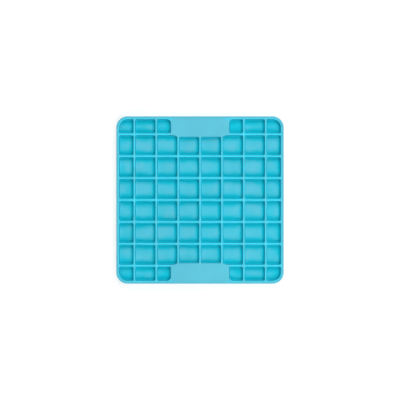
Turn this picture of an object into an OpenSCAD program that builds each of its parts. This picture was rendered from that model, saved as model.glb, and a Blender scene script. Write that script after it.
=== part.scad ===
// Square lick mat: a soft pad with drafted cells, moulded into a rigid tray that stands on four feet.
// +Z is up, the feet stand on Z = 0 and the middle of the mat is over the origin.
// The two plain panels lie towards +Y and -Y.

/* [Mat] */
// Length and width of the square mat
mat_w = 200; // [170:1:260]
// Radius of the mat's corners, seen from above
mat_corner_r = 13.5; // [10:0.5:20]

/* [Tray] */
// Thickness of the rim and of the skirt
tray_wall = 2; // [1.6:0.1:3]
// Thickness of the tray's floor, under the pad
tray_floor = 1.6; // [1.2:0.1:3]
// Depth of the hollow under the tray's floor
recess_h = 2.6; // [2.2:0.1:6]
// Rounding of the rim's outer edge and of the skirt's lower edge
tray_edge_r = 0.5; // [0.3:0.1:1.2]
// Slope of the tray's outer wall, in degrees
tray_draft = 2; // [0:0.5:4]
// Thickness of the stiffening ribs under the floor
stiffener_w = 1.4; // [1:0.1:2.5]
// Bays between the middle stiffening rib and the one that runs through two feet
stiffener_bays = 2; // [1:1:4]
// How far the stiffening ribs stop short of the skirt's lower edge
stiffener_rise = 0.6; // [0.2:0.1:1]

/* [Pad] */
// Depth of a cell, from the rib tops to its floor
cell_depth = 4.6; // [4:0.1:5]
// Thickness of the pad under its cells
pad_floor = 1.2; // [1:0.1:1.6]
// Width of the pad's own rim, outside the cells
pad_rim = 1.4; // [1.2:0.1:4]
// Distance between the middles of two ribs
cell_pitch = 26.15; // [20:0.05:32]
// Thickness of a rib at its top
rib_w = 2.1; // [1.4:0.1:3]
// Slope of a cell's walls, in degrees
cell_draft = 4; // [1:0.5:6]
// Radius of a cell's upright corners, at the top
cell_corner_r = 1.7; // [1.7:0.1:3]
// Radius between a cell's walls and its floor
cell_floor_r = 1.2; // [0.6:0.1:1.2]
// Rounding of the ribs' upper edges
rib_edge_r = 0.6; // [0.2:0.1:0.8]

/* [Panels] */
// Width of each plain panel
panel_w = 69.8; // [40:0.2:90]
// How far a panel stands in past the rib that carries its inner edge
panel_lip = 1.9; // [0.4:0.1:3]
// Radius of the outer corner of the cell beside a panel
panel_corner_r = 4.8; // [2:0.1:6]
// Radius of the shoulder that leads from that rib to the panel's inner edge
shoulder_r = 12; // [5:0.5:16]

/* [Feet] */
// Diameter of a foot
foot_d = 12; // [8:0.5:16]
// How far a foot stands out below the tray
foot_proud = 0.8; // [0.6:0.1:1.5]
// Depth of the socket that holds a foot
foot_socket = 1.6; // [1:0.1:2]
// Rounding of a foot's lower edge
foot_edge_r = 0.5; // [0.2:0.1:0.6]
// Number of round grooves in a foot's lower face
foot_grooves = 3; // [1:1:5]
// Width of a groove
groove_w = 0.7; // [0.4:0.1:0.8]
// Depth of a groove
groove_depth = 0.4; // [0.2:0.1:0.8]
// Thickness of the wall round a socket
boss_wall = 2; // [1.2:0.1:3]
// Distance from the mat's edge to the middle of a foot
foot_inset = 21; // [18:0.5:30]

/* [Hidden] */
// Gap between the pad and the rim round it, and between a foot and its socket
fit_gap = 0.1;
// Overrun of every cut
over = 1;
// Chords in a rounded edge, and facets of a whole circle
edge_steps = 2;
round_fn = 96;
// A cell's points lie on a grid this fine, so that the faces beside each other share them exactly
grain = 0.001;

pad_h = cell_depth + pad_floor;
tray_h = recess_h + tray_floor + pad_h;
skirt_z = foot_proud;
floor_z = skirt_z + recess_h;
pad_z = floor_z + tray_floor;
top_z = skirt_z + tray_h;

tray_half = mat_w / 2;
pocket_half = tray_half - tray_wall;
pocket_r = mat_corner_r - tray_wall;
pad_half = pocket_half - fit_gap;
pad_r = pocket_r - fit_gap;
cells_half = pad_half - pad_rim;

// Least width of a cell beside the rim or a panel, which leaves a straight beside its large corner
cell_min_w = 2 * panel_corner_r;
// Ribs on each side of the middle one, and the width of the cells beside the rim
ribs_half = floor((cells_half - cell_min_w - rib_w / 2) / cell_pitch);
edge_cell_w = cells_half - ribs_half * cell_pitch - rib_w / 2;
// How far a cell's middle laps over its sides: half the way to the floor's rounding
cell_lap = snap((cell_corner_r + cell_edge()[0].x) / 2);
// The corner cell's large radius follows the rim, as far as the cell's width allows
cells_r = min(pad_r - pad_rim, edge_cell_w - cell_corner_r);
panel_half = panel_w / 2;
// Inner edge of a panel, and where the rib that carries it would end without it
rib_edge_y = ribs_half * cell_pitch - rib_w / 2;
panel_edge_y = rib_edge_y - panel_lip;
// Length of the shoulder along the rib
shoulder_run = snap(sqrt(shoulder_r * shoulder_r - (shoulder_r - panel_lip) * (shoulder_r - panel_lip)));

foot_at = tray_half - foot_inset;
socket_r = foot_d / 2 + fit_gap;
boss_r = socket_r + boss_wall;
stiffener_h = recess_h - stiffener_rise;
stiffener_pitch = foot_at / stiffener_bays;
groove_pitch = (foot_d / 2 - foot_edge_r) / (foot_grooves + 1);

function snap(v) = round(v / grain) * grain;

// Points of an arc about c, from angle a to angle b
function arc(c, r, a, b) = [
    for (i = [0 : edge_steps])
        let (t = a + (b - a) * i / edge_steps)
        c + r * [cos(t), sin(t)]
];

// Half profile of a cell, outwards from the middle of its corner of radius r. Its wall leans out
// at the draft, meets the floor in the floor's rounding and the rib's top in the rib's rounding.
function cell_wall(z) = z * tan(cell_draft);
function cell_edge() =
    let (low = cell_floor_r - cell_depth)
    let (low_c = [cell_wall(low) - cell_floor_r / cos(cell_draft), low])
    let (high_c = [cell_wall(-rib_edge_r) + rib_edge_r / cos(cell_draft), -rib_edge_r])
    concat(arc(low_c, cell_floor_r, -90, -cell_draft),
           arc(high_c, rib_edge_r, 180 - cell_draft, 90),
           [[high_c.x, over]]);
function cell_profile(r) =
    concat([[0, over], [0, -cell_depth]], [for (p = cell_edge()) [r + snap(p.x), snap(p.y)]]);

// Half profile of the tray's outside, with both edges rounded and the wall leaning in below
function tray_profile() =
    let (low = mat_corner_r - (tray_h - tray_edge_r) * tan(tray_draft))
    concat([[0, 0]],
           arc([low - tray_edge_r, tray_edge_r], tray_edge_r, -90, -tray_draft),
           arc([mat_corner_r - tray_edge_r, tray_h - tray_edge_r], tray_edge_r, 0, 90),
           [[0, tray_h]]);

// Half profile of a plain upright wall between two heights
function wall_profile(r, z0, z1) = [[0, z0], [r, z0], [r, z1], [0, z1]];

// One side of a rounded block: the profile carried along +X, facing +Y
module side(run, profile) {
    rotate([90, 0, 90])
        linear_extrude(run)
            polygon(profile);
}

// A square block with round corners, whose edge follows a half profile drawn for corner radius r
module rounded_block(half, r, z0, z1, profile) {
    c = half - r;
    translate([-c, -c, z0])
        cube([2 * c, 2 * c, z1 - z0]);
    for (a = [0 : 90 : 270])
        rotate(a) {
            translate([-c, c, 0])
                side(2 * c, profile);
            translate([c, c, 0])
                rotate_extrude(angle = 90, $fn = round_fn)
                    polygon(profile);
        }
}

// A cell between x0 and x1, y0 and y1 at the top. Its corner at high x and high y has the radius r,
// and the others have the radius of every cell's corners.
module cell(x0, x1, y0, y1, r) {
    s = cell_corner_r;
    low = [x0 + s, y0 + s];
    high = [x1 - s, y1 - s];
    turn = [x1 - r, y1 - r];
    lap = [cell_lap, cell_lap];
    a = low - lap;
    b = high + lap;
    c = turn + lap;
    translate([0, 0, -cell_depth])
        linear_extrude(cell_depth + over)
            polygon([a, [b.x, a.y], [b.x, c.y], c, [c.x, b.y], [a.x, b.y]]);
    translate([low.x, high.y, 0])
        side(turn.x - low.x, cell_profile(s));
    translate([high.x, turn.y, 0])
        rotate(-90)
            side(turn.y - low.y, cell_profile(s));
    translate([high.x, low.y, 0])
        rotate(180)
            side(high.x - low.x, cell_profile(s));
    translate([low.x, low.y, 0])
        rotate(90)
            side(high.y - low.y, cell_profile(s));
    translate(turn)
        rotate_extrude(angle = 90, $fn = round_fn)
            polygon(cell_profile(r));
    for (p = [[low.x, high.y, 90], [low.x, low.y, 180], [high.x, low.y, 270]])
        translate([p.x, p.y, 0])
            rotate(p.z)
                rotate_extrude(angle = 90, $fn = round_fn)
                    polygon(cell_profile(s));
}

// Lower and upper limit of cell i of a quarter, counted outwards from the middle rib
function cell_from(i) = i * cell_pitch + rib_w / 2;
function cell_to(i) = i == ribs_half ? cells_half : (i + 1) * cell_pitch - rib_w / 2;

// The cell beside the panel in the row next to it: the shoulder cuts its corner off
module shoulder_cell(x0, x1, y0, y1) {
    intersection() {
        mirror([1, 0, 0])
            cell(-x1, shoulder_r - shoulder_run - x0, y0, y1, shoulder_r);
        cell(x0, x1 + cell_pitch, y0, y1 + cell_pitch, cell_corner_r);
    }
}

// Cell i, j of the quarter towards +X and +Y
module quarter_cell(i, j) {
    outer = j == ribs_half;
    next = j == ribs_half - 1;
    inside = cell_to(i) <= panel_half;
    crossed = cell_from(i) < panel_half && !inside;
    beside = max(cell_from(i), panel_half);
    if (outer) {
        if (!inside && cell_to(i) - beside >= cell_min_w) {
            if (i == ribs_half)
                cell(beside, cell_to(i), cell_from(j), cell_to(j), cells_r);
            else if (crossed)
                mirror([1, 0, 0])
                    cell(-cell_to(i), -beside, cell_from(j), cell_to(j), panel_corner_r);
            else
                cell(beside, cell_to(i), cell_from(j), cell_to(j), cell_corner_r);
        }
    }
    else if (next && inside)
        cell(cell_from(i), cell_to(i), cell_from(j), panel_edge_y, cell_corner_r);
    else if (next && crossed)
        shoulder_cell(cell_from(i), cell_to(i), cell_from(j), cell_to(j));
    else
        cell(cell_from(i), cell_to(i), cell_from(j), cell_to(j), cell_corner_r);
}

module lick_pad() {
    color("#3fc3df")
        difference() {
            rounded_block(pad_half, pad_r, pad_z, top_z, wall_profile(pad_r, pad_z, top_z));
            for (sx = [0, 1], sy = [0, 1], i = [0 : ribs_half], j = [0 : ribs_half])
                mirror([sx, 0, 0])
                    mirror([0, sy, 0])
                        translate([0, 0, top_z])
                            quarter_cell(i, j);
        }
}

module stiffeners() {
    for (a = [0, 90], k = [-stiffener_bays : stiffener_bays])
        rotate(a)
            translate([k * stiffener_pitch - stiffener_w / 2, -pocket_half, floor_z - stiffener_h])
                cube([stiffener_w, 2 * pocket_half, stiffener_h]);
}

module at_feet() {
    for (sx = [-1, 1], sy = [-1, 1])
        translate([sx * foot_at, sy * foot_at, 0])
            children();
}

module base_tray() {
    color("#5fc0d8")
        difference() {
            union() {
                difference() {
                    translate([0, 0, skirt_z])
                        rounded_block(tray_half, mat_corner_r, 0, tray_h, tray_profile());
                    rounded_block(pocket_half, pocket_r, pad_z, top_z + over,
                                  wall_profile(pocket_r, pad_z, top_z + over));
                    rounded_block(pocket_half, pocket_r, 0, floor_z, wall_profile(pocket_r, 0, floor_z));
                }
                stiffeners();
                at_feet()
                    translate([0, 0, skirt_z])
                        cylinder(r = boss_r, h = recess_h, $fn = round_fn);
            }
            at_feet()
                cylinder(r = socket_r, h = skirt_z + foot_socket, $fn = round_fn);
        }
}

module foot(sx, sy) {
    r = foot_d / 2;
    color("#1f7f92")
        translate([sx * foot_at, sy * foot_at, 0])
            difference() {
                rotate_extrude($fn = round_fn)
                    polygon(concat([[0, 0]],
                                   arc([r - foot_edge_r, foot_edge_r], foot_edge_r, -90, 0),
                                   [[r, skirt_z + foot_socket], [0, skirt_z + foot_socket]]));
                for (i = [1 : foot_grooves])
                    rotate_extrude($fn = round_fn)
                        translate([i * groove_pitch - groove_w / 2, -over])
                            square([groove_w, over + groove_depth]);
            }
}

base_tray();
lick_pad();
foot(-1, -1);  // foot_front_left
foot(1, -1);  // foot_front_right
foot(-1, 1);  // foot_rear_left
foot(1, 1);  // foot_rear_right
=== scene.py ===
"""A square lick mat in the studio: a soft pad of open cells in a rigid tray on four rubber feet.

Run as a script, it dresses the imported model. The sizes and colours are properties of the scene, and
each piece has an operator of its own in the sidebar of the 3D view.
"""

import bpy
import numpy as np
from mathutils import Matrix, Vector


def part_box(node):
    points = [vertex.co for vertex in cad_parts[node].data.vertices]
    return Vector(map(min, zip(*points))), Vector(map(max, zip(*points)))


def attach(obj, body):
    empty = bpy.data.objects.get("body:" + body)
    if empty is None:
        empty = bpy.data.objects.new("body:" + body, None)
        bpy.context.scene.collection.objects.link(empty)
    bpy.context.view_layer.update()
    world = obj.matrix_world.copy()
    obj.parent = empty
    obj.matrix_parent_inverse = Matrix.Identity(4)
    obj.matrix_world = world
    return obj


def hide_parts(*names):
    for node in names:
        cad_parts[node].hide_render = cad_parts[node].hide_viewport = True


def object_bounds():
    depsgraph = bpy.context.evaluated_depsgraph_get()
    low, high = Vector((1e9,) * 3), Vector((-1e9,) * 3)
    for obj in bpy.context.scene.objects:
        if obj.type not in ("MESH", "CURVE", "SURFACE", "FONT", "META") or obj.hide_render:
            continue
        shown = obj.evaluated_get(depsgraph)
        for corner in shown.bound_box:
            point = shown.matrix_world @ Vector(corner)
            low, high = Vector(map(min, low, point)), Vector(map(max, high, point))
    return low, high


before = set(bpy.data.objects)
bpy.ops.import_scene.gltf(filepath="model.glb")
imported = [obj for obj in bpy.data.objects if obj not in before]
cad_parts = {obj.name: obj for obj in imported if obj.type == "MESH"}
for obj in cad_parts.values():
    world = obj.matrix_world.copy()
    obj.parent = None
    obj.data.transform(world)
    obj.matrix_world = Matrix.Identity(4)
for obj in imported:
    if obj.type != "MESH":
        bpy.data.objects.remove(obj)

bl_info = {
    "name": "Lick Mat",
    "version": (1, 0, 0),
    "blender": (4, 5, 0),
    "location": "View3D > Sidebar > Lick Mat",
    "description": "Builds a square lick mat, its materials and a studio round it",
    "category": "Add Mesh",
}

MM = 0.001
CAD_LOW, CAD_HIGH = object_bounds()
PAD_LOW, PAD_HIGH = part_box("lick_pad")
TRAY_LOW, TRAY_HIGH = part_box("base_tray")
FEET = ("foot_front_left", "foot_front_right", "foot_rear_left", "foot_rear_right")
# The foot at high x and high y, whose place the other three mirror
FOOT_LOW, FOOT_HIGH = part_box("foot_rear_right")
FOOT_MIDDLE = np.array([FOOT_LOW.x + FOOT_HIGH.x, FOOT_LOW.y + FOOT_HIGH.y]) / 2

# Segments of a cell's corner, which is an even number, of a large corner, of the straight between two
# corners, of a rounded edge, and of a whole circle or of a foot's radius
CORNER_STEPS = 8
WIDE_STEPS = 24
SIDE_STEPS = 8
EDGE_STEPS = 4
CIRCLE_STEPS = 96
# Signs of a rectangle's corners, counter-clockwise from the one at high x and high y
CORNERS = ((1, 1), (-1, 1), (-1, -1), (1, -1))
# Width of the strip that keeps a flat face flat beside a rounded edge
GUARD = 0.12 * MM
# Vertices this close are one. The shift keeps round numbers off the borders between the steps.
MERGE_STEP = 0.0005 * MM
MERGE_SHIFT = 0.37
# Shares of a floor's size at which it has more rings
FLOOR_SHARES = (0.86, 0.66, 0.36)

# The pad's marks, each named as the colour that it brings: painted shade on the walls, a painted
# reflection of the lights on the flat faces and a painted highlight on the rib tops
MARKS = ("steep", "flat", "crest")
# Shares of a rib's rounding between which its top ends, the share at which its crest, a painted
# highlight, has ended, and the shares of the floor radius, up from the floor, between which a wall, with
# its painted shade, ends
TOP_SHARES = (1 / 8, 3 / 4)
CREST_SHARE = 1 / 4
WALL_SHARES = (1 / 2, 1 / 10)
# Where the painted reflection of the lights on a floor begins and where it is whole, from the middle of
# the rib at the cell's low x, of the rib at its high x and of the nearest rib along X. Nearer the ribs it
# fades as painted shadow, widest beside the rib at high x, on the key light's side
FLOOR_FADES = ((0.6 * MM, 2.7 * MM), (2.5 * MM, 7 * MM), (4 * MM, 9.5 * MM))
# The most that this painted reflection counts, and the share of a full cell's area up to which a cell has
# none of it, so that a small cell shows painted shade. A cell of twice that share has all of it.
FLOOR_MOST = 0.72
LEAST_ROOM = 0.42
# Where the crest's colour, a painted highlight, begins to grow and where it is whole, from the middle of
# a rib that crosses and from a panel, and the share of it that a crossing has, and that a rib along Y and
# the rim have
CROSSING_FADE = (1 * MM, 3 * MM)
PANEL_FADE = (0, 2 * MM)
CROSSING_SHARE = 0.5
ALONG_Y_SHARE = 0.65
# Size of the uneven patches at the border of each painted-light mark, and the powers between which the
# mark wanders
PAINTED_LIGHT_PATCH_SIZE = 12 * MM
PAINTED_LIGHT_POWERS = (0.5, 1.7)
# Most of a noise lies between these values, which a Map Range node brings to the wanted ones
NOISE_RANGE = {"From Min": 0.3, "From Max": 0.7}


def length(name, description, value):
    """A property for a length in metres."""
    return bpy.props.FloatProperty(name=name, description=description, default=value, min=0,
                                   precision=5, unit="LENGTH")


def angle(name, description, degrees):
    """A property for an angle."""
    return bpy.props.FloatProperty(name=name, description=description, default=np.radians(degrees),
                                   min=0, subtype="ANGLE")


def amount(name, description, value):
    """A property for a plain number."""
    return bpy.props.FloatProperty(name=name, description=description, default=value, min=0)


def count(name, description, value):
    """A property for a number of things."""
    return bpy.props.IntProperty(name=name, description=description, default=value, min=1)


def linear(code):
    """The linear colour of an sRGB hex value such as "3fc3df"."""
    srgb = np.array([int(code[i:i + 2], 16) for i in (0, 2, 4)]) / 255
    return tuple(np.where(srgb <= 0.04045, srgb / 12.92, ((srgb + 0.055) / 1.055) ** 2.4))


def colour(name, description, code):
    """A property for a colour, whose default is an sRGB hex value."""
    return bpy.props.FloatVectorProperty(name=name, description=description, default=linear(code),
                                         size=3, min=0, max=1, subtype="COLOR")


class LickPadProperties(bpy.types.PropertyGroup):
    """Sizes of the soft pad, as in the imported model, and its colours"""
    pitch: length("Cell pitch", "Distance between the middles of two ribs", 26.15 * MM)
    rib: length("Rib width", "Thickness of a rib at its top", 2.1 * MM)
    depth: length("Cell depth", "Depth of a cell, from the rib tops to its floor", 4.6 * MM)
    draft: angle("Draft", "Slope of the cell walls", 4)
    corner: length("Corner radius", "Radius of a cell's upright corners", 1.7 * MM)
    fillet: length("Floor radius", "Radius between a cell's walls and its floor", 1.2 * MM)
    rib_edge: length("Rib rounding", "Rounding of the ribs' upper edges", 0.6 * MM)
    crown: length("Floor crown", "How far the middle of a cell's floor rises", 0.12 * MM)
    rim: length("Rim width", "Width of the pad's own rim, outside the cells", 1.4 * MM)
    rim_corner: length("Rim corner radius", "Radius of the pad's corners, seen from above", 11.4 * MM)
    edge: length("Edge rounding", "Rounding of the pad's outer edges", 0.22 * MM)
    panel: length("Panel width", "Width of each plain panel", 69.8 * MM)
    panel_lip: length("Panel lip", "How far a panel stands in past the rib behind it", 1.9 * MM)
    panel_corner: length("Panel corner radius", "Outer corner of the cell beside a panel", 4.8 * MM)
    shoulder: length("Shoulder radius", "Radius that leads from the rib to a panel's edge", 12 * MM)
    shoulder_end: length("Shoulder end radius", "Radius where a shoulder meets the next rib", 1.2 * MM)
    deep: colour("Rubber", "Colour of the rubber in the cells", "02adc2")
    # Darker colour of the cells' walls: painted shade
    steep: colour("Rubber, walls", "Colour of the cells' upright walls", "03a0ba")
    # Paler colour of the top and of the floors: a painted reflection of the lights
    flat: colour("Rubber, flat faces", "Colour of the broad flat faces", "54afc3")
    # Brighter colour of the rib tops: a painted highlight
    crest: colour("Rubber, rib tops", "Colour of the rib tops, which light shines through", "30c8e0")


class TrayProperties(bpy.types.PropertyGroup):
    """Sizes of the rigid tray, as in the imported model, and its colour"""
    wall: length("Wall", "Thickness of the rim and of the skirt", 2 * MM)
    corner: length("Corner radius", "Radius of the tray's corners, seen from above", 13.5 * MM)
    edge: length("Edge rounding", "Rounding of the rim's outer and the skirt's lower edge", 0.5 * MM)
    fine_edge: length("Fine rounding", "Rounding of the edges by the pad and in the skirt", 0.25 * MM)
    draft: angle("Draft", "Slope of the outer wall", 2)
    floor: length("Floor", "Thickness of the floor under the pad", 1.6 * MM)
    rib: length("Stiffening rib", "Thickness of the ribs under the floor", 1.4 * MM)
    rib_rise: length("Rib rise", "How far these ribs stop short of the skirt's edge", 0.6 * MM)
    rib_bays: count("Bays", "Bays between the middle rib and the one through two feet", 2)
    rib_draft: angle("Rib draft", "Slope of these ribs' sides", 1)
    rib_edge: length("Rib rounding", "Rounding of these ribs' edges", 0.25 * MM)
    rib_fillet: length("Rib fillet", "Radius between these ribs and the floor", 0.5 * MM)
    rib_run_out: length("Rib run-out", "How a rib climbs where it ends in a wall", 0.3 * MM)
    bay_corner: length("Bay corner radius", "Radius of the upright corners between the ribs", 1.2 * MM)
    pin_mark: length("Ejector mark", "Radius of the round mark that an ejector pin leaves", 2.5 * MM)
    pin_depth: length("Ejector mark depth", "Depth of such a mark", 0.12 * MM)
    plastic: colour("Polypropylene", "Colour of the moulded plastic", "4cadc2")


class FootProperties(bpy.types.PropertyGroup):
    """Sizes of a rubber foot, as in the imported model, and its colour"""
    socket: length("Socket depth", "Depth of the socket that holds the foot", 1.6 * MM)
    socket_gap: length("Socket gap", "Gap between the foot and its socket", 0.1 * MM)
    boss: length("Boss wall", "Thickness of the wall round a socket", 2 * MM)
    edge: length("Edge rounding", "Rounding of the foot's edges", 0.5 * MM)
    grooves: count("Grooves", "Number of round grooves in the lower face", 3)
    groove: length("Groove width", "Width of a groove", 0.7 * MM)
    groove_depth: length("Groove depth", "Depth of a groove", 0.4 * MM)
    rubber: colour("Foot rubber", "Colour of the feet", "1f7f92")


class StudioProperties(bpy.types.PropertyGroup):
    """The camera, the lights and the floor"""
    frame_width: length("Frame width", "Width of the picture at the height of the mat", 477.6 * MM)
    lens: amount("Focal length", "Focal length in millimetres", 100)
    sensor: amount("Sensor width", "Width of the sensor in millimetres", 36)
    floor_radius: length("Floor radius", "Radius of the paper floor", 5.0)
    floor_flat: length("Flat floor radius", "Radius within which the paper lies flat", 2.0)
    floor_sweep: length("Floor sweep", "How high the paper is swept up all round", 1.2)
    light_distance: length("Light distance", "From the mat to each light", 1.8)
    key: amount("Key light", "Power of the light to the right, in watts", 15.8)
    key_rise: angle("Key light rise", "How far above the horizon the key light stands", 53)
    key_size: length("Key light size", "Diameter of the key light", 0.77)
    back: amount("Back light", "Power of the light behind the mat, in watts", 24.2)
    front: amount("Front light", "Power of the light before the mat, in watts", 23)
    side_rise: angle("Side light rise", "How far above the horizon those two lights stand", 43)
    side_size: length("Side light size", "Diameter of those two lights", 1.2)
    room: amount("Room light", "Strength of the light all round", 0.03)
    paper: colour("Floor", "Colour of the floor", "909090")
    paper_glow: amount("Floor glow", "Light that comes through the paper", 0.69)


def smooth_step(value, low, high):
    """0 below low, 1 above high, and t * t * (3 - 2 t) between, where t is the share of the way."""
    t = np.clip((value - low) / (high - low), 0, 1)
    return t * t * (3 - 2 * t)


def arc(centre, radius, start, end, steps):
    """Points of an arc: centre plus radius times (cos a, sin a), in even steps from start to end."""
    a = np.radians(np.linspace(start, end, steps + 1))
    return np.asarray(centre) + radius * np.stack([np.cos(a), np.sin(a)], axis=1)


def tip_of(k, sides):
    """Corner k of the rectangle whose sides are at (low x, high x, low y, high y)."""
    return np.where(np.array(CORNERS[k]) > 0, sides[1::2], sides[0::2])


def round_corner(k, sides, radius, steps=CORNER_STEPS):
    """Corner k of a rectangle as a quarter arc, tangent to both sides."""
    return arc(tip_of(k, sides) - np.array(CORNERS[k]) * radius, radius, 90 * k, 90 * k + 90, steps)


def square_corner(k, sides, reach):
    """Corner k of a rectangle, with its points spread along both sides as far as reach.

    At share s of the way, from -1 to 1, lies tip + reach * (min(s, 0) * arriving + max(s, 0) * leaving).
    """
    arriving, leaving = (np.array([-np.sin(a), np.cos(a)]) for a in np.pi / 2 * np.array([k, k + 1]))
    s = np.linspace(-1, 1, CORNER_STEPS + 1)[:, None]
    return tip_of(k, sides) + reach * (np.minimum(s, 0) * arriving + np.maximum(s, 0) * leaving)


def shoulder_corner(sides, inset, radius, end_radius, run):
    """The corner at low x and high y, cut off by the shoulder.

    An arc of the shoulder's radius leaves the upper side, and a small arc touches both it and the left
    side: its middle lies one small radius from that side, and radius less small radius from the first's.
    """
    big = radius - inset
    small = max(end_radius - inset, GUARD)
    middle = np.array([sides[0] - inset + run, sides[3] + inset - radius])
    x = sides[0] + small
    end = np.array([x, middle[1] + np.sqrt((big - small) ** 2 - (middle[0] - x) ** 2)])
    turn = np.degrees(np.arctan2(end[1] - middle[1], end[0] - middle[0]))
    first = CORNER_STEPS // 2 + 1
    return np.concatenate([arc(middle, big, 90, turn, first),
                           arc(end, small, turn, 180, CORNER_STEPS - first)[1:]])


def boss_corner(k, radius, side):
    """Corner k of a bay with a foot's boss in it: an arc about the boss that bends into the bay.

    It runs between the points where it meets the bay's two sides, which pass at a distance of side.
    """
    turn = np.degrees(np.arcsin(side / radius))
    return arc(FOOT_MIDDLE, radius, 90 * k + 270 - turn, 90 * k + 180 + turn, WIDE_STEPS)


def ring(corners):
    """One closed ring of points: four corners, and even steps along the straight between each two."""
    t = np.linspace(0, 1, SIDE_STEPS + 1)[1:-1, None]
    return np.concatenate([part for k, here in enumerate(corners)
                           for part in (here, here[-1] + (corners[(k + 1) % 4][0] - here[-1]) * t)])


def lift(points, z):
    """Points of a plane at height z, which is one number or one for each."""
    return np.column_stack([points, np.broadcast_to(z, len(points))])


def skin(rings, pole):
    """Vertices and four-cornered faces of a surface through closed rings, and then to a pole.

    Rings that run counter-clockwise and shrink give faces that point up. Beside the pole a face has its
    last corner twice.
    """
    n = len(rings[0])
    a = np.arange(n)
    b = (a + 1) % n
    quads = [np.stack([a, b, b + n, a + n], axis=1) + k * n for k in range(len(rings) - 1)]
    last, tip = (len(rings) - 1) * n, np.full(n, len(rings) * n)
    quads.append(np.stack([a + last, b + last, tip, tip], axis=1))
    return np.concatenate([*rings, [pole]]), np.concatenate(quads)


def down(surface):
    """The surface with its faces pointing the other way."""
    vertices, faces = surface
    return vertices, faces[:, ::-1]


def joined(parts):
    """One surface of several, in which the vertices that lie on each other are merged."""
    vertices = np.concatenate([v for v, _ in parts])
    starts = np.cumsum([0] + [len(v) for v, _ in parts[:-1]])
    faces = np.concatenate([f + start for start, (_, f) in zip(starts, parts)])
    steps = np.floor(vertices / MERGE_STEP + MERGE_SHIFT).astype(np.int64)
    _, first, index = np.unique(steps, axis=0, return_index=True, return_inverse=True)
    return vertices[first], index.ravel()[faces]


def mirrored(surface):
    """The surface joined with its mirror images in X and Y. A mirroring turns the faces' order round."""
    for flip in ((-1, 1, 1), (1, -1, 1)):
        vertices, faces = surface
        surface = joined([surface, (vertices * flip, faces[:, ::-1])])
    return surface


def open_edge(surface):
    """The vertices on edges that only one face has."""
    vertices, faces = surface
    edges = np.sort(np.concatenate([faces[:, [k, (k + 1) % 4]] for k in range(4)]), axis=1)
    edges, times = np.unique(edges[edges[:, 0] != edges[:, 1]], axis=0, return_counts=True)
    return vertices[np.unique(edges[times == 1])]


def held(profile):
    """A profile with a point just inside both ends of each long straight stretch, to keep it flat."""
    steps = np.diff(profile, axis=0)
    lengths = np.linalg.norm(steps, axis=1)
    parts = [profile[:1]]
    for start, step, size in zip(profile, steps, lengths):
        shares = [GUARD / size, 1 - GUARD / size, 1] if size > 4 * GUARD else [1]
        parts.append(start + step * np.array(shares)[:, None])
    return np.concatenate(parts)


def carried(points, middle, core, profile, pole):
    """A half profile of (radius, z) pairs carried round the middle, along the loop that the points make.

    The loop is a square that reaches to plus and minus core, grown by a radius. Each point moves along
    the line from the nearest point of that square until it is as far from it as the profile says.
    """
    away = points[:, :2] - middle
    away = away[np.argsort(np.arctan2(away[:, 1], away[:, 0]))]
    nearest = np.clip(away, -core, core)
    out = (away - nearest) / np.linalg.norm(away - nearest, axis=1)[:, None]
    return skin([lift(middle + nearest + out * r, z) for r, z in profile], [*middle, pole])


def pocket_profile(depth, draft, edge, fillet):
    """Insets and heights down the side of a pocket, from the land round it to its floor.

    The wall leans in by the draft: inset = depth * tan(draft). The upper edge is an arc tangent to the
    land and the wall, and the fillet one tangent to the wall and the floor.
    """
    tilt = np.degrees(draft)
    upper = arc([edge * np.tan(draft) - edge / np.cos(draft), -edge], edge, 90, tilt, EDGE_STEPS)
    lower = arc([(depth - fillet) * np.tan(draft) + fillet / np.cos(draft), fillet - depth], fillet,
                180 + tilt, 270, EDGE_STEPS + 1)
    return np.concatenate([upper, lower, [lower[-1] + [GUARD, 0]]])


def pad_lines(p):
    """Where the tiles of the pad's quarter meet and end: the ribs' middles, and the rim's edge."""
    ribs = int((PAD_HIGH.x - p.rim - p.rib / 2) // p.pitch)
    return np.append(p.pitch * np.arange(ribs + 1), PAD_HIGH.x - p.edge - GUARD)


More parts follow.
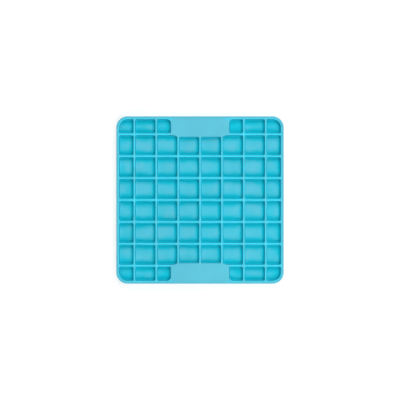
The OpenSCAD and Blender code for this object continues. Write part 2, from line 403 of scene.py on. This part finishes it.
def pad_tile(p, i, j, lines, profile):
    """Tile i, j of the pad's quarter: the land between the middles of the ribs, and the cell in it.

    The cell is a stack of rings. Each has the inset and the height that the profile gives, and then they
    shrink to the middle of the floor, which rises by crown * (1 - share * share).
    """
    last = len(lines) - 2
    top = PAD_HIGH.z
    outline = np.array([lines[i], lines[i + 1], lines[j], lines[j + 1]])
    reach = p.rib / 2 + p.corner
    corners = [square_corner(k, outline, reach) for k in range(4)]
    if i == last and j == last:
        corners[0] = round_corner(0, outline, p.rim_corner - p.edge - GUARD, WIDE_STEPS)
    rings = [lift(ring(corners), top)]
    low_x, low_y = lines[[i, j]] + p.rib / 2
    high_x, high_y = (PAD_HIGH.x - p.rim if n == last else lines[n + 1] - p.rib / 2 for n in (i, j))
    panel = p.panel / 2
    crossed = low_x < panel < high_x
    if j == last and high_x <= panel:
        middle = np.array([(outline[0] + outline[1]) / 2, (outline[2] + outline[3]) / 2])
        rings += [lift(middle + (rings[0][:, :2] - middle) * s, top) for s in FLOOR_SHARES]
        return skin(rings, [*middle, top])
    radii, steps = [p.corner] * 4, [CORNER_STEPS] * 4
    if i == last and j == last:
        radii[0], steps[0] = p.rim_corner - p.rim, WIDE_STEPS
    if j == last and crossed:
        low_x = panel
        radii[1] = p.panel_corner
    if j == last - 1 and high_x <= panel:
        high_y -= p.panel_lip
    shoulder = j == last - 1 and crossed
    run = np.sqrt(p.shoulder ** 2 - (p.shoulder - p.panel_lip) ** 2)
    for inset, z in np.concatenate([[profile[0] - [GUARD, 0]], profile]):
        sides = np.array([low_x + inset, high_x - inset, low_y + inset, high_y - inset])
        corners = [round_corner(k, sides, max(radii[k] - inset, GUARD), steps[k]) for k in range(4)]
        if shoulder:
            corners[1] = shoulder_corner(sides, inset, p.shoulder, p.shoulder_end, run)
        rings.append(lift(ring(corners), top + z))
    middle = np.array([(low_x + high_x) / 2, (low_y + high_y) / 2])
    edge, floor = rings[-1][:, :2], top - p.depth
    rings += [lift(middle + (edge - middle) * s, floor + p.crown * (1 - s * s)) for s in FLOOR_SHARES]
    return skin(rings, [*middle, floor + p.crown])


def pad_surface(p):
    """The closed surface of the pad: four mirrored quarters of tiles, the side and the underside."""
    lines = pad_lines(p)
    profile = pocket_profile(p.depth, p.draft, p.rib_edge, p.fillet)
    tiles = range(len(lines) - 1)
    upper = mirrored(joined([pad_tile(p, i, j, lines, profile) for i in tiles for j in tiles]))
    r, e = p.rim_corner, p.edge
    top, bottom = PAD_HIGH.z, PAD_LOW.z
    side = np.concatenate([[[r - e - GUARD, top]], arc([r - e, top - e], e, 90, 0, EDGE_STEPS),
                           arc([r - e, bottom + e], e, 0, -90, EDGE_STEPS), [[r / 2, bottom]]])
    core = PAD_HIGH.x - r
    return joined([upper, down(carried(open_edge(upper), np.zeros(2), core, held(side), bottom))])


def pad_marks(p, vertices):
    """How much each vertex counts as steep, as flat and as crest, from 0 to 1.

    Steep are the walls, from the fillet up to the rounded edge; their darker colour is painted shade. All
    of the top counts as flat, whose paler colour is a painted reflection of the lights, and a floor does
    as the distance from the ribs round it grows, soonest beside the rib at low x, as in the photograph,
    so that nearer the ribs, and most beside the rib at high x, it fades as painted shadow. It counts less
    in a small cell, where more of the light
    comes off the walls: by its room, which is its share of a full cell's area. The rounded top of a rib
    counts as crest, a painted highlight, in part at a crossing, in full away from it, and less and less
    towards a panel. A rib along Y and the rim look less bright in the photograph, and count less.
    """
    x, y = np.abs(vertices[:, 0]), np.abs(vertices[:, 1])
    lines = pad_lines(p)
    to_ribs = np.stack([np.abs(v[:, None] - lines).min(axis=1) for v in (x, y)])
    under = PAD_HIGH.z - vertices[:, 2]
    on_top = 1 - smooth_step(under, *(p.rib_edge * share for share in TOP_SHARES))
    below = smooth_step(under, *(p.depth - p.fillet * share for share in WALL_SHARES))
    # The walls' darker colour is painted shade
    steep = (1 - on_top) * (1 - below)
    top_most = 1 - smooth_step(under, 0, p.rib_edge * CREST_SHARE)
    inside = np.minimum(p.panel / 2 - x, y - (lines[-2] - p.rib / 2 - p.panel_lip))
    i, j = (np.clip(np.searchsorted(lines, v), 1, len(lines) - 1) for v in (x, y))
    start = np.where(j == len(lines) - 1, np.maximum(lines[i - 1], p.panel / 2), lines[i - 1])
    room = (lines[i] - start) * (lines[j] - lines[j - 1]) / p.pitch ** 2
    across = np.concatenate([-lines[:0:-1], lines])
    k = np.clip(np.searchsorted(across, vertices[:, 0]), 1, len(across) - 1)
    # The floors' painted reflection fades to painted shadow nearer the ribs, most beside the rib at high
    # x, and small cells are left without it as painted shade
    distances = (vertices[:, 0] - across[k - 1], across[k] - vertices[:, 0], to_ribs[1])
    floor = np.prod([smooth_step(away, *fade) for away, fade in zip(distances, FLOOR_FADES)], axis=0)
    floor *= FLOOR_MOST * np.clip(room / LEAST_ROOM - 1, 0, 1)
    # The rib tops' painted highlight, less at a crossing and towards a panel
    highlight_share = CROSSING_SHARE + (1 - CROSSING_SHARE) * smooth_step(to_ribs.max(axis=0), *CROSSING_FADE)
    highlight_share *= smooth_step(-inside, *PANEL_FADE)
    along_x = (to_ribs[1] < to_ribs[0]) & (y < PAD_HIGH.y - p.rim - p.rib_edge)
    crest = top_most * highlight_share * np.where(along_x, 1, ALONG_Y_SHARE)
    return steep, np.maximum(on_top, floor), crest


def bay_tile(p, boss, i, j, lines, profile):
    """Tile i, j of the quarter of the tray's underside: the land of the ribs, and the bay between them.

    It is worked out face up, with the ribs' lower faces at height 0. The skirt and the boss are upright
    walls, so there the rings move in only with the fillet. The land climbs to them at its very end.
    """
    last = [n == len(lines) - 2 for n in (i, j)]
    outline = np.array([lines[i], lines[i + 1], lines[j], lines[j + 1]])
    at_boss = [np.allclose(tip_of(k, outline), FOOT_MIDDLE) for k in range(4)]
    skirt_corner = p.corner - p.wall

    def bay_ring(sides, inset, flush):
        """A ring of the bay that has moved in by inset at the ribs, and by flush at an upright wall."""
        corners = [round_corner(k, sides, max(p.bay_corner - inset, GUARD)) for k in range(4)]
        if all(last):
            corners[0] = round_corner(0, sides, skirt_corner - flush, WIDE_STEPS)
        if any(at_boss):
            k = at_boss.index(True)
            corners[k] = boss_corner(k, boss + flush, p.rib / 2 + inset)
        return ring(corners)

    corners = [square_corner(k, outline, p.rib / 2 + p.bay_corner) for k in range(4)]
    if all(last):
        corners[0] = round_corner(0, outline, skirt_corner, WIDE_STEPS)
    if any(at_boss):
        corners[at_boss.index(True)] = boss_corner(at_boss.index(True), boss, 0)
    land = ring(corners)
    core = lines[-1] - skirt_corner
    from_skirt = skirt_corner - np.linalg.norm(land - np.clip(land, -core, core), axis=1)
    from_boss = np.linalg.norm(land - FOOT_MIDDLE, axis=1) - boss
    climb = np.clip(1 - np.minimum(from_skirt, from_boss) / p.rib, 0, 1)
    rings = [lift(land, p.rib_run_out * climb ** 2)]
    start = profile[EDGE_STEPS + 1, 0]
    for inset, z in profile:
        flush = max(inset - start, 0)
        low = outline[0::2] + p.rib / 2 + inset
        high = outline[1::2] - np.where(last, flush, p.rib / 2 + inset)
        rings.append(lift(bay_ring(np.array([low[0], high[0], low[1], high[1]]), inset, flush), z))
    middle = (low + high) / 2
    edge, floor = rings[-1][:, :2] - middle, profile[-1, 1]
    away = edge / np.linalg.norm(edge, axis=1)[:, None]
    mark, dent = p.pin_mark, p.pin_depth * ((i + j) % 2)
    rings.append(lift(middle + edge * FLOOR_SHARES[0], floor))
    rings += [lift(middle + away * r, floor - z) for r, z in
              ((mark + GUARD, 0), (mark, 0), (mark - GUARD, dent), (mark / 2, dent))]
    return skin(rings, [*middle, floor - dent])


def boss_surface(p, f, edge, middle, boss):
    """One foot's boss: from the loop where the ribbed underside ends, down, and up into the socket."""
    skirt, fine = TRAY_LOW.z, p.fine_edge
    hole, ceiling = boss - f.boss, skirt + f.socket
    side = np.concatenate([[[boss, edge[:, 2].mean()]],
                           arc([boss - fine, skirt + fine], fine, 0, -90, EDGE_STEPS),
                           arc([hole + fine, skirt + fine], fine, -90, -180, EDGE_STEPS),
                           [[hole, ceiling], [hole / 2, ceiling]]])
    return down(carried(edge, middle, 0, held(side), ceiling))


def tray_surface(p, f):
    """The tray's closed surface: the ribbed underside, the bosses, the skirt, the rim and the pocket."""
    skirt, top, pocket = TRAY_LOW.z, TRAY_HIGH.z, PAD_LOW.z
    ribs = skirt + p.rib_rise
    boss = (FOOT_HIGH.x - FOOT_LOW.x) / 2 + f.socket_gap + f.boss
    lines = np.append(np.linspace(0, FOOT_MIDDLE[0], p.rib_bays + 1), TRAY_HIGH.x - p.wall)
    profile = pocket_profile(pocket - p.floor - ribs, p.rib_draft, p.rib_edge, p.rib_fillet)
    tiles = range(len(lines) - 1)
    bays = joined([bay_tile(p, boss, i, j, lines, profile) for i in tiles for j in tiles])
    vertices, faces = mirrored(bays)
    under = vertices * (1, 1, -1) + (0, 0, ribs), faces[:, ::-1]
    edge = open_edge(under)
    parts = [under]
    for corner in CORNERS:
        middle = FOOT_MIDDLE * corner
        near = np.linalg.norm(edge[:, :2] - middle, axis=1) < boss + GUARD
        parts.append(boss_surface(p, f, edge[near], middle, boss))
        edge = edge[~near]
    r, e, fine, inner = p.corner, p.edge, p.fine_edge, p.corner - p.wall
    low_r = r - (top - skirt - e) * np.tan(p.draft)
    side = np.concatenate([[[inner, ribs - p.rib_run_out]],
                           arc([inner + fine, skirt + fine], fine, 180, 270, EDGE_STEPS),
                           arc([low_r - e, skirt + e], e, -90, -np.degrees(p.draft), EDGE_STEPS),
                           arc([r - e, top - e], e, 0, 90, EDGE_STEPS + 2),
                           arc([inner + fine, top - fine], fine, 90, 180, EDGE_STEPS),
                           [[inner, pocket], [inner / 2, pocket]]])
    parts.append(carried(edge, np.zeros(2), TRAY_HIGH.x - r, held(side), pocket))
    return joined(parts)


def foot_surface(f, middle):
    """The closed surface of one foot: its half profile turned about the upright line through its middle.

    At distance r from the middle its lower face lies at groove_depth times a smooth step that rises
    across each flank of a groove.
    """
    radius, height = (FOOT_HIGH.x - FOOT_LOW.x) / 2, FOOT_HIGH.z
    land = radius - f.edge
    pitch = land / (f.grooves + 1)
    r = np.linspace(0, land, CIRCLE_STEPS + 1)[1:]
    groove = np.clip(np.round(r / pitch), 1, f.grooves) * pitch
    z = f.groove_depth * smooth_step(f.groove / 2 + GUARD - np.abs(r - groove), 0, 2 * GUARD)
    top_edge = 2 * GUARD
    side = np.concatenate([np.column_stack([r, z]), arc([land, f.edge], f.edge, -90, 0, EDGE_STEPS)[1:],
                           arc([radius - top_edge, height - top_edge], top_edge, 0, 90, EDGE_STEPS)])
    circle = middle + radius * arc([0, 0], 1, 0, 360, CIRCLE_STEPS)[:-1]
    around = carried(circle, middle, 0, side, height)
    first = carried(circle, middle, 0, side[:1], 0)
    return joined([around, down(first)])


def paper_surface(s):
    """The paper round the mat: flat, then swept up by a smooth step of the distance from the middle."""
    circle = arc([0, 0], 1, 0, 360, CIRCLE_STEPS)[:-1]
    radii = np.append(np.linspace(s.floor_radius, s.floor_flat, WIDE_STEPS), s.floor_flat / 2)
    rings = [lift(circle * r, CAD_LOW.z + s.floor_sweep * smooth_step(r, s.floor_flat, s.floor_radius))
             for r in radii]
    return skin(rings, [0, 0, CAD_LOW.z])


def new_mesh(name, surface, material):
    """A smooth mesh object of the surface. Faces with a corner twice become triangles."""
    vertices, faces = surface
    faces = [face[:3] if face[2] == face[3] else face[1:] if face[0] == face[1] else face
             for face in faces.tolist()]
    mesh = bpy.data.meshes.new(name)
    mesh.from_pydata(vertices.tolist(), [], faces)
    mesh.shade_smooth()
    mesh.materials.append(material)
    thing = bpy.data.objects.new(name, mesh)
    bpy.context.scene.collection.objects.link(thing)
    return thing


def new_piece(name, surface, material, node):
    """A mesh object of the surface, in place of a CAD node."""
    piece = new_mesh(name, surface, material)
    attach(piece, "root")
    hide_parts(node)
    return piece


def add(tree, kind, inputs, **settings):
    """Adds a node with its settings. Each input, by name or number, gets a value or a socket's link."""
    node = tree.nodes.new(kind)
    for name, value in settings.items():
        setattr(node, name, value)
    for name, value in inputs.items():
        if isinstance(value, bpy.types.NodeSocket):
            tree.links.new(value, node.inputs[name])
        else:
            node.inputs[name].default_value = value
    return node


def new_material(name):
    """An empty node material."""
    material = bpy.data.materials.new(name)
    material.use_nodes = True
    material.node_tree.nodes.clear()
    return material


def moulded(tree, base, patch, patch_change, grain, relief, gloss, **values):
    """A moulded surface: soft blotches of colour, a fine grain, and a gloss that the grain makes uneven.

    base is a colour or a socket. patch is the real size of the blotches, and patch_change is how much
    they change the colour. grain and relief are the grain's width and height, drawn about three times as
    coarse as the real ones, which are too fine to show. gloss is the lowest and the highest roughness.
    """
    where = add(tree, "ShaderNodeTexCoord", {}).outputs["Object"]
    blotch, speckle = (add(tree, "ShaderNodeTexNoise", {"Vector": where, "Scale": 1 / size, "Detail": 2})
                       .outputs["Fac"] for size in (patch, grain))
    tones = (1 - patch_change, 1 + patch_change)
    tone, shine = (add(tree, "ShaderNodeMapRange",
                       {"Value": noise, "To Min": low, "To Max": high, **NOISE_RANGE}).outputs["Result"]
                   for noise, (low, high) in ((blotch, tones), (speckle, gloss)))
    toned = add(tree, "ShaderNodeVectorMath", {0: base, "Scale": tone}, operation="SCALE")
    bump = add(tree, "ShaderNodeBump", {"Height": speckle, "Distance": relief})
    shader = add(tree, "ShaderNodeBsdfPrincipled",
                 {"Base Color": toned.outputs["Vector"], "Roughness": shine,
                  "Normal": bump.outputs["Normal"], **values})
    add(tree, "ShaderNodeOutputMaterial", {"Surface": shader.outputs["BSDF"]})


def pad_rubber(p):
    """Thermoplastic rubber, moulded in a spark-eroded tool: satin, with painted light on its faces.

    The flat faces get a paler colour, a painted reflection of the lights. The rib tops get a brighter
    colour, deeper than the solid rubber, a painted highlight of the light that comes through the narrow
    ribs. The walls get a little darker colour, as painted shade. Each colour comes in by its mark to a
    power that wanders, so that its border is uneven, while a mark of 0 or 1 stays.
    """
    material = new_material("Moulded thermoplastic rubber")
    tree = material.node_tree
    where = add(tree, "ShaderNodeTexCoord", {}).outputs["Object"]
    cloud = add(tree, "ShaderNodeTexNoise", {"Vector": where, "Scale": 1 / PAINTED_LIGHT_PATCH_SIZE, "Detail": 0})
    low, high = PAINTED_LIGHT_POWERS
    power = add(tree, "ShaderNodeMapRange", {"Value": cloud.outputs["Fac"], "To Min": low, "To Max": high,
                                             **NOISE_RANGE}).outputs["Result"]
    base = (*p.deep, 1)
    # Each mark brings its painted-light colour over the rubber: painted shade, reflection or highlight
    for name in MARKS:
        mark = add(tree, "ShaderNodeAttribute", {}, attribute_name=name).outputs["Fac"]
        mark = add(tree, "ShaderNodeMath", {0: mark, 1: power}, operation="POWER").outputs["Value"]
        # A Mix node's two colours are its inputs 6 and 7, and their mixture is its output 2
        base = add(tree, "ShaderNodeMix", {0: mark, 6: base, 7: (*getattr(p, name), 1)},
                   data_type="RGBA").outputs[2]
    moulded(tree, base, patch=30 * MM, patch_change=0.03, grain=0.6 * MM, relief=0.02 * MM,
            gloss=(0.36, 0.44),
            **{"Specular IOR Level": 0.1, "Subsurface Weight": 0.1, "Subsurface Radius": (0.25, 1, 1.2),
               "Subsurface Scale": 1.2 * MM})
    return material


def tray_plastic(p):
    """Injection-moulded polypropylene: waxy, a little greyer than the rubber, with a fine even grain."""
    material = new_material("Moulded polypropylene")
    moulded(material.node_tree, tuple(p.plastic), patch=40 * MM, patch_change=0.02, grain=0.5 * MM,
            relief=0.025 * MM, gloss=(0.45, 0.53), **{"Specular IOR Level": 0.35})
    return material


def foot_rubber(f):
    """Compression-moulded rubber: dark and matt, so that the foot grips."""
    material = new_material("Moulded foot rubber")
    moulded(material.node_tree, tuple(f.rubber), patch=5 * MM, patch_change=0.06, grain=0.4 * MM,
            relief=0.015 * MM, gloss=(0.6, 0.75))
    return material


def floor_paper(s):
    """Seamless background paper: matt and faintly mottled, with an even light coming through it."""
    material = new_material("Seamless paper")
    moulded(material.node_tree, tuple(s.paper), patch=90 * MM, patch_change=0.01, grain=1.5 * MM,
            relief=0.01 * MM, gloss=(0.85, 0.95),
            **{"Emission Color": (1, 1, 1, 1), "Emission Strength": s.paper_glow})
    return material


class LickMatPad(bpy.types.Operator):
    """Build the soft pad with its cells and its two plain panels"""
    bl_idname = "lick_mat.pad"
    bl_label = "Lick Pad"

    def execute(self, context):
        p = context.scene.lick_pad
        vertices, faces = pad_surface(p)
        pad = new_piece("soft_pad", (vertices, faces), pad_rubber(p), "lick_pad")
        for name, values in zip(MARKS, pad_marks(p, vertices)):
            marks = pad.data.attributes.new(name, "FLOAT", "POINT")
            marks.data.foreach_set("value", values.astype(np.float32))
        return {"FINISHED"}


class LickMatTray(bpy.types.Operator):
    """Build the rigid tray with its rim, its ribs and the sockets of its feet"""
    bl_idname = "lick_mat.tray"
    bl_label = "Base Tray"

    def execute(self, context):
        p = context.scene.lick_mat_tray
        surface = tray_surface(p, context.scene.lick_mat_foot)
        new_piece("rigid_tray", surface, tray_plastic(p), "base_tray")
        return {"FINISHED"}


class LickMatFeet(bpy.types.Operator):
    """Build the four rubber feet"""
    bl_idname = "lick_mat.feet"
    bl_label = "Feet"

    def execute(self, context):
        f = context.scene.lick_mat_foot
        rubber = foot_rubber(f)
        for node in FEET:
            low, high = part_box(node)
            middle = np.array([low.x + high.x, low.y + high.y]) / 2
            name = node.replace("foot", "rubber_foot")
            new_piece(name, foot_surface(f, middle), rubber, node)
        return {"FINISHED"}


class LickMatStudio(bpy.types.Operator):
    """Set up the camera, the lights and the paper floor"""
    bl_idname = "lick_mat.studio"
    bl_label = "Studio"

    def execute(self, context):
        s, scene = context.scene.lick_mat_studio, context.scene
        scene.view_settings.view_transform = "Standard"

        def place(name, data, position, rise, turn):
            """An object at a place, looking back along the way that rises by rise and turns by turn."""
            thing = bpy.data.objects.new(name, data)
            thing.location = position
            thing.rotation_euler = (np.pi / 2 - rise, 0, np.pi / 2 + turn)
            scene.collection.objects.link(thing)
            return thing

        lens = bpy.data.cameras.new("Camera")
        lens.lens, lens.sensor_width = s.lens, s.sensor
        distance = s.frame_width * s.lens / s.sensor
        lens.clip_start = distance / 100
        scene.camera = place("Camera", lens, (0, 0, CAD_HIGH.z + distance), np.pi / 2, -np.pi / 2)

        def softbox(name, turn, rise, power, size):
            """A round area light that looks at the middle of the mat."""
            lamp = bpy.data.lights.new(name, "AREA")
            lamp.shape, lamp.size, lamp.energy = "DISK", size, power
            flat = np.cos(rise)
            way = Vector((flat * np.cos(turn), flat * np.sin(turn), np.sin(rise)))
            place(name, lamp, way * s.light_distance, rise, turn)

        softbox("Key light", 0, s.key_rise, s.key, s.key_size)
        softbox("Back light", np.pi / 2, s.side_rise, s.back, s.side_size)
        softbox("Front light", -np.pi / 2, s.side_rise, s.front, s.side_size)

        world = bpy.data.worlds.new("Studio room")
        world.use_nodes = True
        world.node_tree.nodes["Background"].inputs["Strength"].default_value = s.room
        world.node_tree.nodes["Background"].inputs["Color"].default_value = (1, 1, 1, 1)
        scene.world = world

        new_mesh("Paper floor", paper_surface(s), floor_paper(s))
        return {"FINISHED"}


class VIEW3D_PT_lick_mat(bpy.types.Panel):
    """The sizes, the colours and the pieces of the lick mat"""
    bl_idname = "VIEW3D_PT_lick_mat"
    bl_label = "Lick Mat"
    bl_space_type = "VIEW_3D"
    bl_region_type = "UI"
    bl_category = "Lick Mat"

    def draw(self, context):
        for operator, settings in STEPS:
            box = self.layout.box()
            box.operator(operator.bl_idname)
            group = getattr(context.scene, settings)
            for name in group.__annotations__:
                box.prop(group, name)


SETTINGS = {"lick_pad": LickPadProperties, "lick_mat_tray": TrayProperties,
            "lick_mat_foot": FootProperties, "lick_mat_studio": StudioProperties}
STEPS = ((LickMatPad, "lick_pad"), (LickMatTray, "lick_mat_tray"), (LickMatFeet, "lick_mat_foot"),
         (LickMatStudio, "lick_mat_studio"))
CLASSES = (*SETTINGS.values(), *(operator for operator, _ in STEPS), VIEW3D_PT_lick_mat)


def register():
    """Adds the classes, and the settings to the scene."""
    for cls in CLASSES:
        bpy.utils.register_class(cls)
    for name, group in SETTINGS.items():
        setattr(bpy.types.Scene, name, bpy.props.PointerProperty(type=group))


def unregister():
    """Takes the settings and the classes out again."""
    for name in SETTINGS:
        delattr(bpy.types.Scene, name)
    for cls in reversed(CLASSES):
        bpy.utils.unregister_class(cls)


def main():
    """Registers the add-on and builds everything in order."""
    register()
    bpy.ops.lick_mat.pad()
    bpy.ops.lick_mat.tray()
    bpy.ops.lick_mat.feet()
    bpy.ops.lick_mat.studio()


if __name__ == "__main__":
    main()
